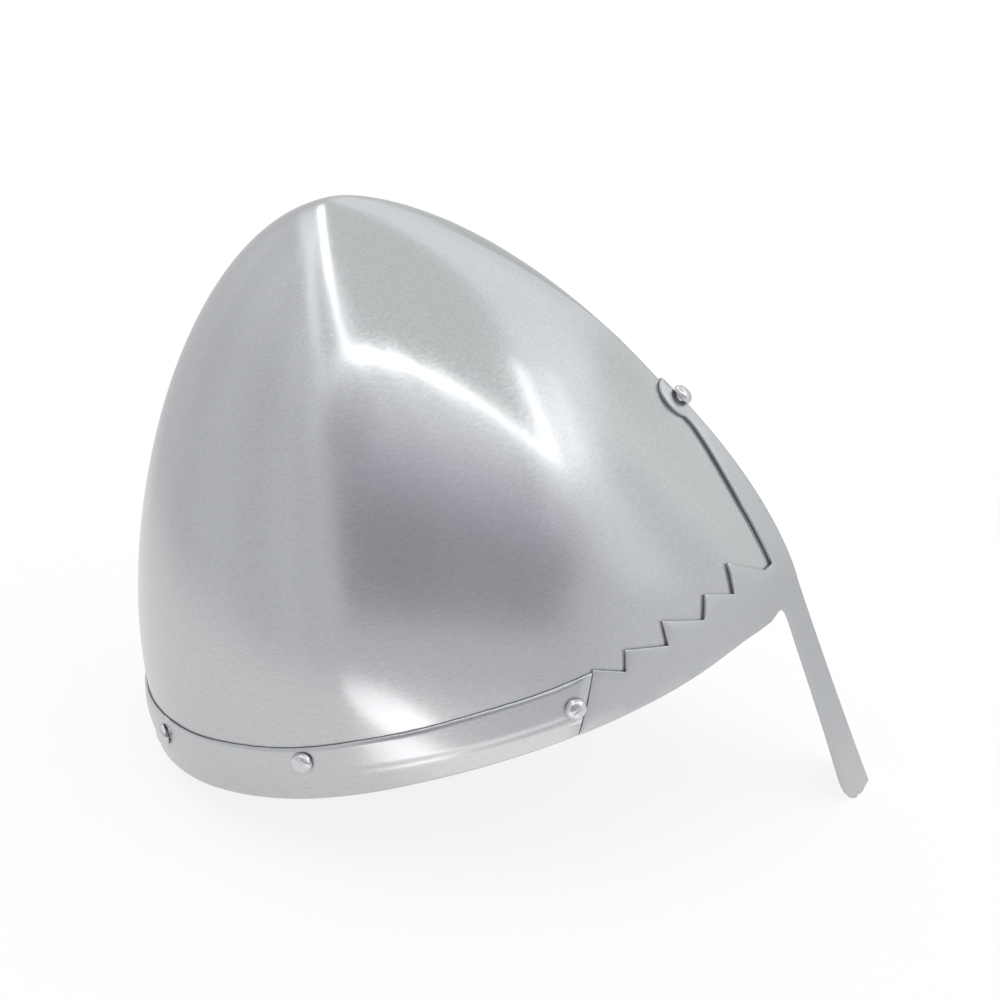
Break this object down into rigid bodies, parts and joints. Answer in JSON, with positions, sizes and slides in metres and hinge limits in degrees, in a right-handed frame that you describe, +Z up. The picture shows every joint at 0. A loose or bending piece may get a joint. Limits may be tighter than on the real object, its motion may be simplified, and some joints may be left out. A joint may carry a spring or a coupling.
{
  "type": "nasal helmet",
  "caption": "Open-faced keeled steel helmet with a dagged brow plate, nasal guard, riveted rim band, leather lining and a buckled chin strap.",
  "frame": {"origin": "on the flat lower edge of the rim band at the middle of the back, on the mirror plane", "axes": "+Z up as worn, -Y the way the face looks, -X the wearer's right"},
  "size_m": [0.1952, 0.2437, 0.2528],
  "materials": {
    "skull": "satin brushed",
    "front_plate": "satin brushed",
    "rear_band": "satin brushed",
    "rivet": "hand-peened, bright",
    "rove": "plain",
    "liner_leather": "vegetable tanned, flesh side in",
    "strap_leather": "dressed, burnished edges",
    "cord": "twisted waxed linen",
    "buckle": "cast and filed"
  },
  "bodies": {
    "helmet": {"skull": "skull", "front_plate": "front_plate", "rear_band": "rear_band", "rivet_top": "rivet", "rivet_front_right": "rivet", "rivet_front_left": "rivet", "rivet_side_right": "rivet", "rivet_side_left": "rivet", "rivet_rear_right": "rivet", "rivet_rear_left": "rivet", "rove_top": "rove", "rove_front_right": "rove", "rove_front_left": "rove", "rove_side_right": "rove", "rove_side_left": "rove", "rove_rear_right": "rove", "rove_rear_left": "rove", "liner_band": "liner_leather", "liner_petal_1": "liner_leather", "liner_petal_2": "liner_leather", "liner_petal_3": "liner_leather", "liner_petal_4": "liner_leather", "liner_petal_5": "liner_leather", "liner_petal_6": "liner_leather", "liner_petal_7": "liner_leather", "liner_petal_8": "liner_leather", "lining_cord": "cord"},
    "right_strap": {"chin_strap_right": "strap_leather"},
    "left_strap": {"chin_strap_left": "strap_leather"},
    "keeper": {"strap_keeper": "strap_leather"},
    "buckle": {"buckle_frame": "buckle"},
    "tongue": {"buckle_tongue": "buckle"}
  },
  "joints": [
    {"name": "chin_strap_right_swing", "type": "hinge", "parent": "helmet", "child": "right_strap", "pos_m": [-0.0917, -0.06719, 0.01412], "axis": [-0.9583, 0.2807, 0.0542], "range_deg": [0, 100]},
    {"name": "chin_strap_left_swing", "type": "hinge", "parent": "helmet", "child": "left_strap", "pos_m": [0.0917, -0.06719, 0.01412], "axis": [-0.9583, -0.2807, -0.0542], "range_deg": [0, 100]},
    {"name": "buckle_frame_turn", "type": "hinge", "parent": "left_strap", "child": "buckle", "pos_m": [0.03494, -0.02858, 0.0142], "axis": [0, 0, 1], "range_deg": [0, 50]},
    {"name": "buckle_tongue_turn", "type": "hinge", "parent": "buckle", "child": "tongue", "pos_m": [0.03494, -0.02858, 0.0142], "axis": [0, 0, 1], "range_deg": [0, 60]},
    {"name": "strap_keeper_slide", "type": "slide", "parent": "left_strap", "child": "keeper", "axis": [-0.7744, 0.6327, 0], "range_m": [-0.006, 0.006]}
  ]
}
